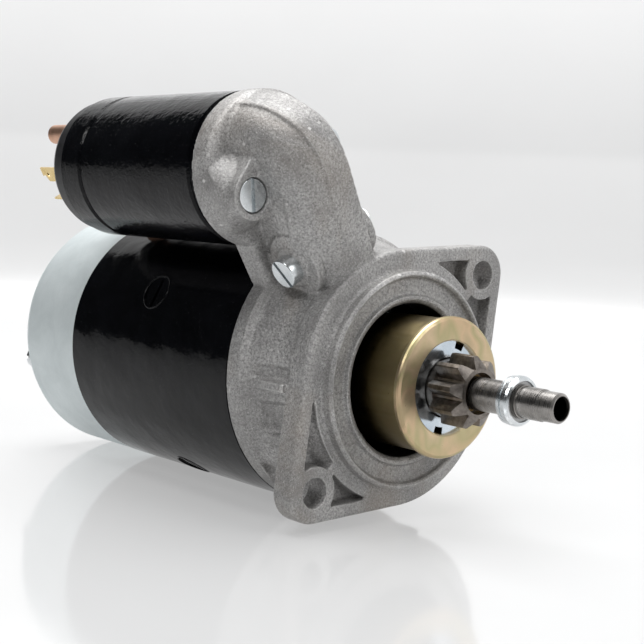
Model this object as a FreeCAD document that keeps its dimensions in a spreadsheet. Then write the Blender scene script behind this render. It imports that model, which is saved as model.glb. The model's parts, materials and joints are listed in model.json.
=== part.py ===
"""Pre-engaged starter motor: series motor, roller-clutch drive and solenoid, as a parametric assembly.

Frame: origin where the shaft axis crosses the flange's mating face, +X along the shaft towards the
pinion, +Z up, millimetres.  The solenoid and the shift lever share one plane through the shaft axis
that leans from +Z towards -Y.  In that leaned frame a place is (x, side, height).
"""
import FreeCAD, Part
import math
import os
import Sketcher

Vector = FreeCAD.Vector
Rotation = FreeCAD.Rotation
X_AXIS = Vector(1, 0, 0)

# Driving dimensions, in millimetres and degrees.
SIZES = {
    # armature shaft
    "nose_radius": 5.8,
    "nose_end": 72,
    "tip_start": 57,
    "tip_radius": 5.45,
    "lead_radius": 5.1,
    "nose_start": 14,
    "spline_radius": 7.25,
    "spline_start": -45,
    "core_bore": 8.5,
    "journal_radius": 5.8,
    "journal_start": -165,
    "shaft_rear": -182,
    "centre_hole_radius": 4.1,
    # flange and pilot of the drive end housing
    "flange_thickness": 10,
    "hub_radius": 47.5,
    "ear_radius": 11.3,
    "ear_angle": 47,
    "hole_circle": 55.6,
    "hole_radius": 5.5,
    "boss_ring": 9.5,
    "pocket_depth": 6,
    "relief_radius": 9.4,
    "relief_rear": -21,
    "pocket_border": 5.2,
    "pocket_web": 42.8,
    "short_pocket_web": 45.2,
    "pocket_rib": 1.8,
    "pilot_radius": 40,
    "pilot_height": 5,
    "rim_inner": 37.8,
    "floor_height": 2.2,
    "lip_radius": 31,
    "lip_height": 3.6,
    "mouth_radius": 28.2,
    # yoke and end cap
    "yoke_front": -37.4,
    "yoke_rear": -143.5,
    "yoke_radius": 53,
    "yoke_wall": 4,
    "cap_radius": 52.8,
    "cap_rear": -186.5,
    "cap_wall": 2,
    "cap_corner": 5,
    # poles, measured from the leaned plane
    "pole_angle": 31.3,
    "pole_face": 36.3,
    "pole_front": -60,
    "pole_rear": -124,
    "bolt_circle": 45,
    "bolt_radius": 2.5,
    # armature
    "core_radius": 35.6,
    "core_front": -64,
    "core_rear": -122,
    "slot_count": 24,
    "commutator_radius": 19,
    "commutator_front": -140,
    "commutator_rear": -162,
    # leaned plane and solenoid
    "lean": 30,
    "solenoid_height": 86,
    "hump_half_width": 14.2,
    "crest_rib_lift": 0.7,
    "near_boss_radius": 8.8,
    "near_boss_front": -16.2,
    "far_boss_radius": 7.4,
    "far_boss_front": -19.8,
    "pivot_boss_radius": 12.2,
    "pivot_pad_radius": 7.6,
    "solenoid_radius": 28.2,
    "solenoid_wall": 2,
    "solenoid_front": -37.4,
    "solenoid_rear": -127,
    "crimp_place": -112.3,
    "moulding_radius": 26.8,
    "moulding_rear": -136,
    "plunger_radius": 9,
    "plunger_rear": -73,
    "core_face": -84,
    "screw_offset": 19.5,
    # shift lever
    "pivot_place": -16,
    "pivot_height": 55.5,
    "pivot_radius": 3,
    "pivot_seat": 16.4,
    "pad_height": 8,
    "pad_radius": 3,
    "drive_travel": 11.5,
    # overrunning clutch and pinion
    "sleeve_rear": -38,
    "sleeve_radius": 10.5,
    "clutch_rear": -9,
    "clutch_front": 21.5,
    "clutch_radius": 24.2,
    "plate_gauge": 1.2,
    "race_radius": 16.5,
    "roller_radius": 3,
    "washer_radius": 25.4,
    "washer_hole": 16.8,
    "pinion_teeth": 9,
    "pinion_tip": 12.8,
    "pinion_root": 8.9,
    "pinion_front": 37.3,
    "pinion_back": 24.5,
    "pinion_hub": 10.35,
    "stop_place": 51.3,
    "stop_radius": 8.6,
    "stud_radius": 4,
    # gap between a shaft and its bush
    "running_gap": 0.05,
}

doc = FreeCAD.newDocument("StarterMotor")
sheet = doc.addObject("Spreadsheet::Sheet", "Sizes")
for row, (alias, value) in enumerate(SIZES.items(), start=1):
    sheet.set("A%d" % row, alias)
    sheet.set("B%d" % row, str(value))
    sheet.setAlias("B%d" % row, alias)
doc.recompute()

PIECES = []


def size(expression):
    """Value of an expression of sheet names, such as 'yoke_radius - yoke_wall'."""
    value = sheet.evalExpression(expression)
    return float(getattr(value, "Value", value))


def bound(expression):
    """The same expression as other objects must write it, with the sheet's name before each alias."""
    words = []
    word = ""
    for letter in expression + " ":
        if letter.isalnum() or letter == "_":
            word += letter
            continue
        words.append("Sizes." + word if word in SIZES else word)
        words.append(letter)
        word = ""
    return "".join(words).strip()


def keep(item, label):
    """Name a finished sub-part: its label is the name of its file."""
    item.Label = label
    PIECES.append(item)
    return item


def put(item, x="0", y="0", z="0"):
    """Bind an object's position to the sheet."""
    for axis, expression in (("x", x), ("y", y), ("z", z)):
        item.setExpression("Placement.Base." + axis, bound(expression))
    return item


def put_leaned(item, height="solenoid_height"):
    """Turn an object into the leaned frame and lift it along that frame's height."""
    item.Placement = FreeCAD.Placement(Vector(), Rotation(X_AXIS, 1))
    item.setExpression("Placement.Rotation.Angle", bound("lean"))
    item.setExpression("Placement.Base.y", bound("-(%s) * sin(lean * 1deg)" % height))
    item.setExpression("Placement.Base.z", bound("(%s) * cos(lean * 1deg)" % height))
    return item


def leaned_placement(height=0.0):
    """The same placement as a value, for shapes that are computed in code."""
    turn = Rotation(X_AXIS, size("lean"))
    return FreeCAD.Placement(turn.multVec(Vector(0, 0, height)), turn)


def origin_plane(body, role):
    """One of a body's own origin planes."""
    return next(feature for feature in body.Origin.OriginFeatures if feature.Role == role)


def outline_sketch(body, role, points):
    """Closed outline of straight lines whose corners are bound to the sheet."""
    sketch = body.newObject("Sketcher::SketchObject", body.Name + "Sketch")
    sketch.AttachmentSupport = [(origin_plane(body, role), "")]
    sketch.MapMode = "FlatFace"
    corners = [Vector(size(u), size(v), 0) for u, v in points]
    count = len(corners)
    for index in range(count):
        sketch.addGeometry(Part.LineSegment(corners[index], corners[(index + 1) % count]), False)
    for index in range(count):
        sketch.addConstraint(Sketcher.Constraint("Coincident", index, 2, (index + 1) % count, 1))
    for index, (u, v) in enumerate(points):
        for kind, expression in (("DistanceX", u), ("DistanceY", v)):
            value = size(expression)
            number = sketch.addConstraint(Sketcher.Constraint(kind, -1, 1, index, 1, value))
            sketch.setExpression("Constraints[%d]" % number, bound(expression))
    return sketch


def turned(name, points):
    """A turned piece: an outline of (x, radius) corners revolved about the X axis."""
    body = doc.addObject("PartDesign::Body", name)
    sketch = outline_sketch(body, "XZ_Plane", points)
    revolution = body.newObject("PartDesign::Revolution", name + "Turned")
    revolution.Profile = sketch
    revolution.ReferenceAxis = (sketch, ["H_Axis"])
    revolution.Angle = 360
    return body


def ring_points(rear, front, inner, outer):
    """Outline of a plain ring between two places and two radii."""
    return [(rear, inner), (front, inner), (front, outer), (rear, outer)]


def cylinder(name, radius, rear, front, y="0", z="0"):
    """A Part cylinder along X, bound to the sheet."""
    item = doc.addObject("Part::Cylinder", name)
    item.setExpression("Radius", bound(radius))
    item.setExpression("Height", bound("(%s) - (%s)" % (front, rear)))
    item.Placement = FreeCAD.Placement(Vector(), Rotation(Vector(0, 1, 0), 90))
    return put(item, rear, y, z)


def box(name, x, y, z):
    """A Part box between two expressions on each axis."""
    item = doc.addObject("Part::Box", name)
    for side, (low, high) in (("Length", x), ("Width", y), ("Height", z)):
        item.setExpression(side, bound("(%s) - (%s)" % (high, low)))
    return put(item, x[0], y[0], z[0])


def cut(name, base, *tools):
    """Base less each tool in turn."""
    result = base
    for index, tool in enumerate(tools):
        step = doc.addObject("Part::Cut", "%sCut%d" % (name, index))
        step.Base = result
        step.Tool = tool
        result = step
    return result


def fuse(name, *shapes):
    """Several primitives joined."""
    result = doc.addObject("Part::MultiFuse", name + "Fuse")
    result.Shapes = list(shapes)
    return result


def computed(name, shape, placement=None):
    """A piece whose shape is worked out in code from the sheet."""
    item = doc.addObject("Part::Feature", name)
    item.Shape = shape
    if placement is not None:
        item.Placement = placement.multiply(shape.Placement)
    return item


def rod(radius, low, high, y=0.0, z=0.0):
    """Cylinder shape along X."""
    return Part.makeCylinder(radius, high - low, Vector(low, y, z), X_AXIS)


def brick(x, y, z):
    """Box shape between pairs of limits."""
    return Part.makeBox(x[1] - x[0], y[1] - y[0], z[1] - z[0], Vector(x[0], y[0], z[0]))


def sector(inner, outer, low, high, middle, half):
    """Part of a ring about the X axis, centred on an angle from +Z towards -Y."""
    start = Rotation(X_AXIS, middle - half).multVec(Vector(0, 0, 1))
    frame = FreeCAD.Placement(Vector(low, 0, 0), Rotation(start, Vector(), X_AXIS, "ZXY"))
    pie = Part.makeCylinder(outer, high - low, Vector(), Vector(0, 0, 1), 2 * half)
    core = Part.makeCylinder(inner, high - low, Vector(), Vector(0, 0, 1), 2 * half)
    wedge = pie.cut(core)
    wedge.Placement = frame
    return wedge


def turn_about_x(shape, angle):
    """A copy turned about the shaft axis."""
    copy = shape.copy()
    copy.rotate(Vector(), X_AXIS, angle)
    return copy


def tangent_corners(hub, ear):
    """Ends of the two tangents from a hub circle to an ear circle, each circle a (centre, radius) pair."""
    (centre_a, radius_a), (centre_b, radius_b) = hub, ear
    along = centre_b - centre_a
    slope = math.acos((radius_a - radius_b) / along.Length)
    along.normalize()
    across = X_AXIS.cross(along)
    corners = []
    for centre, radius, sign in (
        (centre_a, radius_a, 1),
        (centre_b, radius_b, 1),
        (centre_b, radius_b, -1),
        (centre_a, radius_a, -1),
    ):
        reach = along * (radius * math.cos(slope)) + across * (sign * radius * math.sin(slope))
        corners.append(centre + reach)
    return corners, centre_b + along * radius_b


def belt_face(hub, ears, x):
    """Flat face across X inside a belt drawn round a hub circle and one ear, or two opposite ears."""
    edges = []
    parts = [tangent_corners(hub, ear) for ear in ears]
    for index, (corners, tip) in enumerate(parts):
        leave, meet, part, back = corners
        following = parts[(index + 1) % len(parts)][0][0]
        middle = (back + following) * 0.5 - hub[0]
        middle.normalize()
        if len(parts) == 1:
            middle = hub[0] - ears[0][0]
            middle.normalize()
        edges.append(Part.LineSegment(leave, meet).toShape())
        edges.append(Part.Arc(meet, tip, part).toShape())
        edges.append(Part.LineSegment(part, back).toShape())
        edges.append(Part.Arc(back, hub[0] + middle * hub[1], following).toShape())
    face = Part.Face(Part.Wire(edges))
    face.translate(Vector(x, 0, 0))
    return face


def slab(face, depth):
    """A face pushed along X."""
    return face.extrude(Vector(depth, 0, 0))


# ---------------------------------------------------------------- drive end housing

def ear_centres():
    """Centres of the two fixing holes, on one line through the shaft axis."""
    angle = math.radians(size("ear_angle"))
    reach = size("hole_circle")
    first = Vector(0, reach * math.sin(angle), reach * math.cos(angle))
    return [first, -first]


def flange_shape():
    """Two-eared flange with a long and a short pocket beside each boss."""
    hub = (Vector(), size("hub_radius"))
    ear_radius = size("ear_radius")
    thickness = size("flange_thickness")
    border = size("pocket_border")
    plate = slab(belt_face(hub, [(ear, ear_radius) for ear in ear_centres()], 0), -thickness)
    rims = []
    for edge in plate.Edges:
        if edge.BoundBox.XLength < 0.01:
            rims.append(edge)
    plate = plate.makeFillet(1.4, rims)
    depth = size("pocket_depth")
    web = rod(size("pocket_web"), -depth - 1, 1)
    half_rib = size("pocket_rib")
    half_space = brick((-depth - 1, 1), (-size("hole_circle"), 0), (0, size("hole_circle")))
    short_web = rod(size("short_pocket_web"), -depth - 1, 1).common(half_space)
    rib = brick((-depth - 1, 1), (-half_rib, half_rib), (0, size("hole_circle")))
    for number, ear in enumerate(ear_centres()):
        inset = belt_face((Vector(), hub[1] - border), [(ear, ear_radius - border)], 1)
        boss = rod(size("boss_ring"), -depth - 1, 2, ear.y, ear.z)
        turn = 180 * number - size("ear_angle")
        pocket = slab(inset, -depth - 1).cut(web).cut(boss)
        pocket = pocket.cut(turn_about_x(rib, turn)).cut(turn_about_x(short_web, turn))
        plate = plate.cut(pocket)
    return plate


def bell_shape():
    """Turned bell between the flange and the yoke, with the pilot in front, still solid inside."""
    front = size("yoke_front")
    rim = size("yoke_radius")
    outline = [
        (front, 0),
        (front, rim - 0.6),
        (front + 0.6, rim),
        (front + 7, rim),
        (front + 9.5, rim - 2.2),
        (-14, size("hub_radius") - 0.4),
        (-6, size("hub_radius") - 1),
        (-1, size("pilot_radius") + 2.2),
        (0, size("pilot_radius") + 1),
        (0.6, size("pilot_radius")),
        (size("pilot_height") - 1, size("pilot_radius")),
        (size("pilot_height"), size("pilot_radius") - 1),
        (size("pilot_height"), 0),
    ]
    points = [Vector(x, 0, r) for x, r in outline]
    return Part.Face(Part.makePolygon(points + points[:1])).revolve(Vector(), X_AXIS, 360)


def bell_hollow():
    """Space inside the bell, with the stepped mouth that the drive comes out of."""
    front = size("yoke_front")
    mouth = size("mouth_radius")
    top = size("pilot_height") + 1
    outline = [
        (front - 1, 0),
        (front - 1, 48),
        (front + 8, 47),
        (-10.5, 43.2),
        (-10.5, mouth),
        (size("lip_height") - 1.4, mouth),
        (size("lip_height"), mouth + 1.4),
        (size("lip_height"), size("lip_radius")),
        (size("floor_height"), size("lip_radius") + 0.4),
        (size("floor_height"), size("rim_inner") - 0.6),
        (size("floor_height") + 0.6, size("rim_inner")),
        (size("pilot_height") - 0.8, size("rim_inner")),
        (top, size("rim_inner") + 1.8),
        (top, 0),
    ]
    points = [Vector(x, 0, r) for x, r in outline]
    return Part.Face(Part.makePolygon(points + points[:1])).revolve(Vector(), X_AXIS, 360)


def hump_profile(lift):
    """Side outline of the lever hump as a face in the leaned plane, raised by a lift."""
    rear = size("solenoid_front")
    crest = [(rear, 112.2), (-28, 112.4), (-18, 111.2), (-9.5, 107.6), (-1.5, 101.0),
             (2.8, 91.5), (2.6, 78.0), (0.9, 62.0), (-1.2, 46.0), (-3.2, 30.0)]
    curve = Part.BSplineCurve()
    curve.interpolate([Vector(x + (lift if x > rear else 0), 0, h + lift) for x, h in crest])
    first, last = curve.StartPoint, curve.EndPoint
    heel = Vector(rear, 0, last.z)
    edges = [
        Part.LineSegment(heel, first).toShape(),
        curve.toShape(),
        Part.LineSegment(last, heel).toShape(),
    ]
    return Part.Face(Part.Wire(edges))


def side_wall(corners, side, depth):
    """Flat outline of (x, height) corners in the leaned frame, pushed sideways by a depth."""
    points = [Vector(x, side, h) for x, h in corners]
    return Part.Face(Part.makePolygon(points + points[:1])).extrude(Vector(0, depth, 0))


def crest_dome():
    """Round-backed dome over the shift lever, swept along its side outline."""
    half = size("hump_half_width")
    dome = hump_profile(0)
    dome.translate(Vector(0, -half, 0))
    dome = dome.extrude(Vector(0, 2 * half, 0))
    crest_edges = []
    for edge in dome.Edges:
        limits = edge.BoundBox
        if limits.YLength < 0.01 and limits.XLength > 1 and limits.ZLength > 1:
            crest_edges.append(edge)
    return dome.makeFillet(half - 1.2, crest_edges)


def screw_boss(side, radius, front):
    """Boss for one solenoid screw: round below, drawn up to a peak beside the dome, flared at its root."""
    rear = size("solenoid_front")
    height = size("solenoid_height")
    offset = side * size("screw_offset")
    centre = Vector(rear, offset, height)
    peak = Vector(rear, side * 11, height + 13)
    face = belt_face((centre, radius), [(peak, 1.0)], 0)
    boss = slab(face, front - rear)
    flare = Part.makeCone(14.5, radius, 9, Vector(-28.5, offset * 0.93, height), X_AXIS)
    web = brick((rear, front), sorted((offset * 0.4, offset)), (height - radius, height + 4))
    limit = rod(size("solenoid_radius") + 0.4, rear, 0, 0, height)
    return boss.fuse([flare, web]).common(limit)


def hump_shape():
    """Lever hump with its crest rib, screw bosses, pivot bosses and solenoid seat, in the leaned frame."""
    rear = size("solenoid_front")
    height = size("solenoid_height")
    neck = belt_face((Vector(0, 0, 65), 20.6), [(Vector(0, 0, 52), 20.3)], rear)
    shape = crest_dome()
    for seat in (rod(28.6, rear, rear + 9.5, 0, height), slab(neck, 9.5)):
        front_edges = []
        for edge in seat.Edges:
            if edge.BoundBox.XLength < 0.01 and edge.BoundBox.XMin > rear + 5:
                front_edges.append(edge)
        shape = shape.fuse(seat.makeFillet(3.2, front_edges))

    rib = hump_profile(size("crest_rib_lift"))
    rib.translate(Vector(0, -3, 0))
    shape = shape.fuse(rib.extrude(Vector(0, 11, 0)))

    shape = shape.fuse(screw_boss(-1, size("near_boss_radius"), size("near_boss_front")))
    shape = shape.fuse(screw_boss(1, size("far_boss_radius"), size("far_boss_front")))
    for side in (-1, 1):
        base = Vector(size("pivot_place"), side * 12, size("pivot_height"))
        pivot = Part.makeCylinder(size("pivot_boss_radius"), 3.4, base, Vector(0, side, 0))
        pad_height = size("pivot_seat") - 12
        seat_pad = Part.makeCylinder(size("pivot_pad_radius"), pad_height, base, Vector(0, side, 0))
        brow = side_wall([(-13.4, 64), (-11, 64), (-6.4, 81), (-8.8, 81)], side * 12, side * 3.2)
        shape = shape.fuse([pivot, seat_pad, brow])
    return shape


def hump_hollow():
    """Lever chamber inside the hump and the bores that open into it, in the leaned frame."""
    rear = size("solenoid_front")
    height = size("solenoid_height")
    outline = [(rear - 1, 24), (rear - 1, 97), (-15, 97), (-4.5, 92), (-4.5, 52), (-10.5, 40), (-10.5, 24)]
    points = [Vector(x, -10.5, h) for x, h in outline]
    hollow = Part.Face(Part.makePolygon(points + points[:1])).extrude(Vector(0, 21, 0))
    for side in (-1, 1):
        offset = side * size("screw_offset")
        hollow = hollow.fuse(rod(3.2, rear - 1, -14, offset, height))
        hollow = hollow.fuse(rod(6.3, -21.5, -14, offset, height))
    place = Vector(size("pivot_place"), -30, size("pivot_height"))
    return hollow.fuse(Part.makeCylinder(size("pivot_radius"), 60, place, Vector(0, 1, 0)))


def bolt_angles():
    """Angles of the two through bolts, midway between poles."""
    first = size("lean") + size("pole_angle") + 45
    return [first, first + 180]


def bolt_place(angle):
    """Centre of a through bolt in the plane across the shaft."""
    return Rotation(X_AXIS, angle).multVec(Vector(0, 0, size("bolt_circle")))


def drive_end_casting():
    """One casting as two solids that meet face to face: flange with bell, and lever hump."""
    hump = hump_shape()
    hollow = hump_hollow()
    for item in (hump, hollow):
        item.Placement = leaned_placement()
    bell = bell_shape()
    flange = flange_shape()
    hump = hump.cut(bell.fuse(flange)).cut(hollow)
    shape = bell.fuse(flange)
    for angle in (92, 116, 142, 205, 270, 318):
        rib = brick((size("yoke_front") + 3, -9), (-1.6, 1.6), (40, 50.3))
        shape = shape.fuse(turn_about_x(rib, angle))
    shape = shape.cut(bell_hollow()).cut(hollow)
    for angle in bolt_angles():
        place = bolt_place(angle)
        lug = rod(5.2, size("yoke_front"), -22, place.y, place.z)
        shape = shape.fuse(lug).cut(rod(size("bolt_radius"), size("yoke_front") - 1, -24, place.y, place.z))
    for ear in ear_centres():
        shape = shape.cut(rod(size("hole_radius"), -30, 10, ear.y, ear.z))
        relief = rod(size("relief_radius"), size("relief_rear"), -size("flange_thickness"), ear.y, ear.z)
        shape = shape.cut(relief)
    return shape.removeSplitter(), hump.removeSplitter()


bell_casting, hump_casting = drive_end_casting()
keep(computed("DriveEndHousing", bell_casting), "drive_end_housing")
keep(computed("DriveEndHump", hump_casting), "drive_end_hump")


# ---------------------------------------------------------------- yoke, poles and field

def pole_angles():
    """Angles of the four poles from +Z towards -Y."""
    return [size("lean") + size("pole_angle") + 90 * index for index in range(4)]


def pole_screw_shape(clearance):
    """Countersunk pole screw along +Z, between the yoke skin and the pole shoe."""
    skin = size("yoke_radius")
    middle = (size("pole_front") + size("pole_rear")) / 2
    head = Part.makeCone(3.6, 6.6 + clearance, 3.4, Vector(middle, 0, skin - 3.9))
    shank = Part.makeCylinder(3.6, 9, Vector(middle, 0, skin - 12.9))
    return head.fuse(shank).removeSplitter()


def yoke_frame():
    """Steel tube with countersunk holes and a notch for the field lead."""
    tube = rod(size("yoke_radius"), size("yoke_rear"), size("yoke_front"))
    tube = tube.cut(rod(size("yoke_radius - yoke_wall"), size("yoke_rear") - 1, size("yoke_front") + 1))
    middle = (size("pole_front") + size("pole_rear")) / 2
    mouth = Part.makeCylinder(6.6, 5, Vector(middle, 0, size("yoke_radius") - 0.5))
    for angle in pole_angles():
        tube = tube.cut(turn_about_x(pole_screw_shape(0).fuse(mouth), angle))
    notch = brick((size("yoke_rear") - 1, -135), (2, 14), (44, 60))
    notch.Placement = leaned_placement()
    return tube.cut(notch)


def pole_shoes():
    """Four curved pole shoes screwed inside the yoke."""
    outer = size("yoke_radius - yoke_wall")
    shoes = []
    for angle in pole_angles():
        low, high = size("pole_rear"), size("pole_front")
        body = sector(size("pole_face") + 3, outer, low + 4, high - 4, angle, 21)
        face = sector(size("pole_face"), size("pole_face") + 3, low, high, angle, 33)
        shoe = body.fuse(face).removeSplitter()
        shoes.append(shoe.cut(turn_about_x(pole_screw_shape(0), angle)))
    return Part.makeCompound(shoes)


def pole_shoe_screws():
    """Four slotted countersunk screws."""
    middle = (size("pole_front") + size("pole_rear")) / 2
    slot = brick((middle - 0.8, middle + 0.8), (-8, 8), (size("yoke_radius") - 2.2, size("yoke_radius") + 1))
    screw = pole_screw_shape(0).cut(slot)
    return Part.makeCompound([turn_about_x(screw, angle) for angle in pole_angles()])


def field_coils():
    """Four field coils, each a flat winding round a pole body."""
    inner, outer = size("pole_face") + 3.1, size("yoke_radius - yoke_wall") - 0.3
    low, high = size("pole_rear"), size("pole_front")
    coils = []
    for angle in pole_angles():
        winding = sector(inner, outer, low - 7, high + 7, angle, 40.5)
        window = sector(inner - 1, outer + 1, low + 3.9, high - 3.9, angle, 21.2)
        coils.append(winding.cut(window))
    return Part.makeCompound(coils)


keep(computed("YokeFrame", yoke_frame()), "yoke_frame")
keep(computed("PoleShoes", pole_shoes()), "pole_shoes")
keep(computed("PoleShoeScrews", pole_shoe_screws()), "pole_shoe_screws")
keep(computed("FieldCoils", field_coils()), "field_coils")


# ---------------------------------------------------------------- end cap and brush gear

cap_inner = "cap_radius - cap_wall"
cap_floor = "cap_rear + cap_wall"
cap_cup = turned("EndCapCup", [
    ("yoke_rear", cap_inner),
    ("yoke_rear", "cap_radius"),
    ("cap_rear + cap_corner", "cap_radius"),
    ("cap_rear + 1.5", "cap_radius - 1.5"),
    ("cap_rear", "cap_radius - cap_corner"),
    ("cap_rear", "journal_radius + running_gap + 2.5"),
    ("shaft_rear + 12", "journal_radius + running_gap + 2.5"),
    ("shaft_rear + 12", "journal_radius + running_gap + 5"),
    (cap_floor, "journal_radius + running_gap + 5"),
    (cap_floor, "cap_radius - cap_corner"),
    ("cap_rear + cap_corner", cap_inner),
])
cap_holes = []
for number, angle in enumerate(bolt_angles()):
    hole = cylinder("EndCapHole%d" % number, "bolt_radius + 0.2", "cap_rear - 1", "cap_rear + 4")
    place = "%s * %s(%s * 1deg)"
    turn = "(lean + pole_angle + %d)" % (45 + 180 * number)
    put(hole, "cap_rear - 1", place % ("-bolt_circle", "sin", turn), place % ("bolt_circle", "cos", turn))
    cap_holes.append(hole)
keep(cut("EndCap", cap_cup, *cap_holes), "end_cap")

keep(turned("EndCapBushing", ring_points(
    "shaft_rear - 2", "shaft_rear + 12", "journal_radius + running_gap", "journal_radius + running_gap + 2.5"
)), "end_cap_bushing")
keep(cylinder(
    "DustCap", "journal_radius + running_gap + 2.5", "cap_rear", "shaft_rear - 2"
), "shaft_dust_cap")


def through_bolts():
    """Two long bolts that clamp the end cap and yoke to the housing."""
    bolts = []
    for angle in bolt_angles():
        place = bolt_place(angle)
        shank = rod(size("bolt_radius"), size("cap_rear") - 1, -25, place.y, place.z)
        head = rod(5, size("cap_rear") - 4.2, size("cap_rear"), place.y, place.z)
        slot = brick((size("cap_rear") - 5, size("cap_rear") - 2.6), (-6, 6), (-0.7, 0.7))
        slot.translate(place)
        bolts.append(shank.fuse(head).removeSplitter().cut(slot))
    return Part.makeCompound(bolts)


BRUSH_ANGLES = [size("lean") + size("pole_angle") + 90 * index for index in range(4)]
BRUSH_PLACE = (-159.5, -144.5)
HOLDER_WALL = 1.2


def brush_plate():
    """Flat ring behind the commutator that carries the brush holders."""
    plate = rod(size(cap_inner) - 0.4, -163.5, -161.5).cut(rod(21.5, -165, -160))
    for angle in bolt_angles():
        place = bolt_place(angle)
        plate = plate.cut(rod(size("bolt_radius") + 0.6, -165, -160, place.y, place.z))
    return plate


def brush_block(grow, low, high):
    """Rectangular block pointing along +Z above the commutator."""
    return brick((BRUSH_PLACE[0] - grow, BRUSH_PLACE[1] + grow), (-4 - grow, 4 + grow), (low, high))


def brush_set():
    """Holders, brushes and springs, four of each."""
    touch = rod(size("commutator_radius") + size("running_gap"), -170, -130)
    holders, brushes, springs = [], [], []
    for angle in BRUSH_ANGLES:
        tray = brush_block(HOLDER_WALL, 21, 36).cut(brush_block(0, 20, 37))
        tray = tray.cut(brick((-153.3, -150.2), (0, 7), (33.5, 37)))
        foot = brick((-161.5, BRUSH_PLACE[0] - HOLDER_WALL), (-6, 6), (23, 36))
        holders.append(turn_about_x(tray.fuse(foot).removeSplitter(), angle))
        brushes.append(turn_about_x(brush_block(0, 17, 34).cut(touch), angle))
        coil = Part.makeCylinder(3.8, 6, Vector(-155, 11, 30), X_AXIS)
        coil = coil.cut(Part.makeCylinder(2.6, 6, Vector(-155, 11, 30), X_AXIS))
        arm = brick((-153, -150.5), (-1, 11), (34, 34.9)).fuse(brick((-153, -150.5), (10, 11), (33, 34.9)))
        springs.append(turn_about_x(coil.fuse(arm).removeSplitter(), angle))
    return holders, brushes, springs


holder_shapes, brush_shapes, spring_shapes = brush_set()
keep(computed("ThroughBolts", through_bolts()), "through_bolts")
keep(computed("BrushPlate", brush_plate()), "brush_plate")
keep(computed("BrushHolders", Part.makeCompound(holder_shapes)), "brush_holders")
keep(computed("Brushes", Part.makeCompound(brush_shapes)), "brushes")
keep(computed("BrushSprings", Part.makeCompound(spring_shapes)), "brush_springs")


# ---------------------------------------------------------------- armature

keep(turned("ArmatureShaft", [
    ("shaft_rear", "0"),
    ("shaft_rear", "journal_radius - 0.6"),
    ("shaft_rear + 0.6", "journal_radius"),
    ("journal_start", "journal_radius"),
    ("journal_start", "core_bore"),
    ("spline_start", "core_bore"),
    ("spline_start", "spline_radius"),
    ("nose_start - 1.75", "spline_radius"),
    ("nose_start", "nose_radius"),
    ("stop_place + 2.4", "nose_radius"),
    ("stop_place + 2.4", "nose_radius - 0.7"),
    ("stop_place + 4.2", "nose_radius - 0.7"),
    ("stop_place + 4.2", "nose_radius"),
    ("tip_start - 0.1", "nose_radius"),
    ("tip_start", "tip_radius"),
    ("64.8", "tip_radius"),
    ("65", "tip_radius - 0.2"),
    ("65.4", "tip_radius - 0.2"),
    ("65.6", "lead_radius"),
    ("66.4", "lead_radius"),
    ("66.6", "tip_radius - 0.35"),
    ("67.1", "tip_radius - 0.35"),
    ("67.3", "lead_radius"),
    ("nose_end - 0.7", "lead_radius"),
    ("nose_end", "lead_radius - 0.6"),
    ("nose_end", "centre_hole_radius"),
    ("nose_end - 0.7", "centre_hole_radius - 0.5"),
    ("nose_end - 9", "centre_hole_radius - 0.8"),
    ("nose_end - 11", "0"),
]), "armature_shaft")


def slot_blocks(low, high, inner, outer, half):
    """Blocks that stand in the armature slots."""
    count = int(size("slot_count"))
    block = brick((low, high), (-half, half), (inner, outer))
    return [turn_about_x(block, 360.0 * index / count) for index in range(count)]


def armature_core():
    """Lamination stack with one slot per winding bar."""
    stack = rod(size("core_radius"), size("core_rear"), size("core_front"))
    stack = stack.cut(rod(size("core_bore"), size("core_rear") - 1, size("core_front") + 1))
    slots = slot_blocks(size("core_rear") - 1, size("core_front") + 1, 24, 34, 1.6)
    mouths = slot_blocks(size("core_rear") - 1, size("core_front") + 1, 33, 37, 0.9)
    return stack.cut(Part.makeCompound(slots + mouths))


def armature_windings():
    """Bars in the slots and the end turns at both ends."""
    bars = slot_blocks(size("core_rear"), size("core_front"), 24, 34, 1.6)
    front = rod(34.2, size("core_front"), size("core_front") + 9).cut(
        rod(22, size("core_front") - 1, size("core_front") + 10))
    rear = rod(34.2, size("core_rear") - 10, size("core_rear")).cut(
        rod(20, size("core_rear") - 11, size("core_rear") + 1))
    return front.fuse(bars + [rear]).removeSplitter()


def commutator():
    """Copper commutator with riser and a groove between segments."""
    barrel = rod(size("commutator_radius"), size("commutator_rear"), size("commutator_front"))
    riser = rod(22.5, size("commutator_front"), size("commutator_front") + 5)
    body = barrel.fuse(riser).cut(rod(size("core_bore"), -170, -120)).removeSplitter()
    grooves = slot_blocks(size("commutator_rear") - 1, size("commutator_front") + 6, 17.8, 24, 0.3)
    return body.cut(Part.makeCompound(grooves))


keep(computed("ArmatureCore", armature_core()), "armature_core")
keep(computed("ArmatureWindings", armature_windings()), "armature_windings")
keep(computed("Commutator", commutator()), "commutator")

keep(turned("StopWasher", ring_points(
    "stop_place", "stop_place + 1.2", "nose_radius", "stop_radius - 0.3")), "stop_washer")
keep(turned("StopCollar", [
    ("stop_place + 1.2", "nose_radius"),
    ("stop_place + 2.3", "nose_radius"),
    ("stop_place + 2.3", "nose_radius + 1.25"),
    ("stop_place + 4.9", "nose_radius + 1.25"),
    ("stop_place + 4.9", "stop_radius - 1.1"),
    ("stop_place + 4.4", "stop_radius - 0.4"),
    ("stop_place + 3.6", "stop_radius"),
    ("stop_place + 2", "stop_radius"),
    ("stop_place + 1.2", "stop_radius - 0.6"),
]), "stop_collar")
keep(turned("SnapRing", ring_points(
    "stop_place + 2.5", "stop_place + 4.1", "nose_radius - 0.7", "nose_radius + 1.15")), "snap_ring")


# ---------------------------------------------------------------- drive: sleeve, clutch and pinion

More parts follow.
